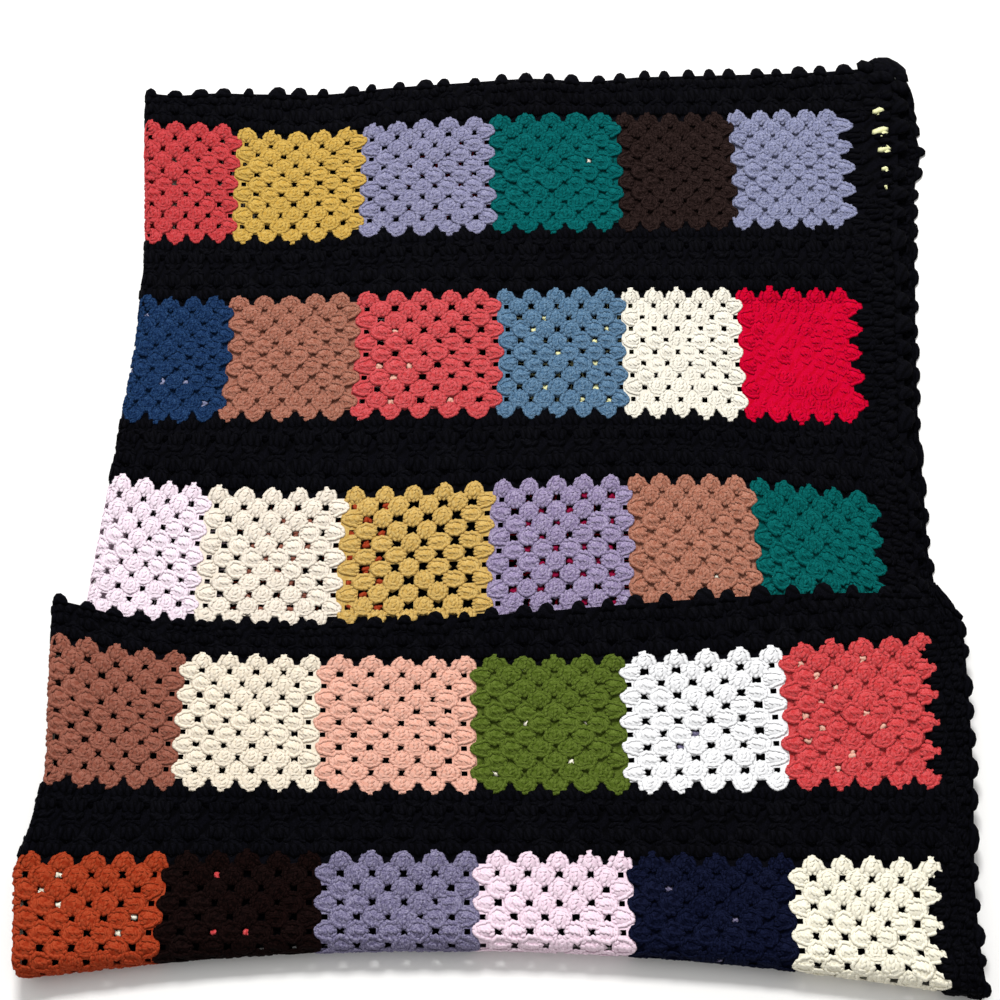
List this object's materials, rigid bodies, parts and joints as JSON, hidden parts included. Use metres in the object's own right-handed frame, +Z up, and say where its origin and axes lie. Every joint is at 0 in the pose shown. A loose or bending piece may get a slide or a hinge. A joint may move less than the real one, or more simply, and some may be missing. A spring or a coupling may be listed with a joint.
{
  "type": "granny square blanket",
  "caption": "Crocheted granny square blanket, folded in half sideways and then up from its near end, with a dark border edged in picots.",
  "frame": {"origin": "centre of the bounding box on the surface that the folded blanket lies on", "axes": "+X along the rows of squares, from the side fold to the open side border; +Y from the front fold to the far border; +Z up"},
  "size_m": [0.7846, 0.8954, 0.0358],
  "materials": {
    "dark_yarn": "matte acrylic yarn"
  },
  "bodies": {
    "root": {"blanket": "dark_yarn"}
  },
  "joints": []
}
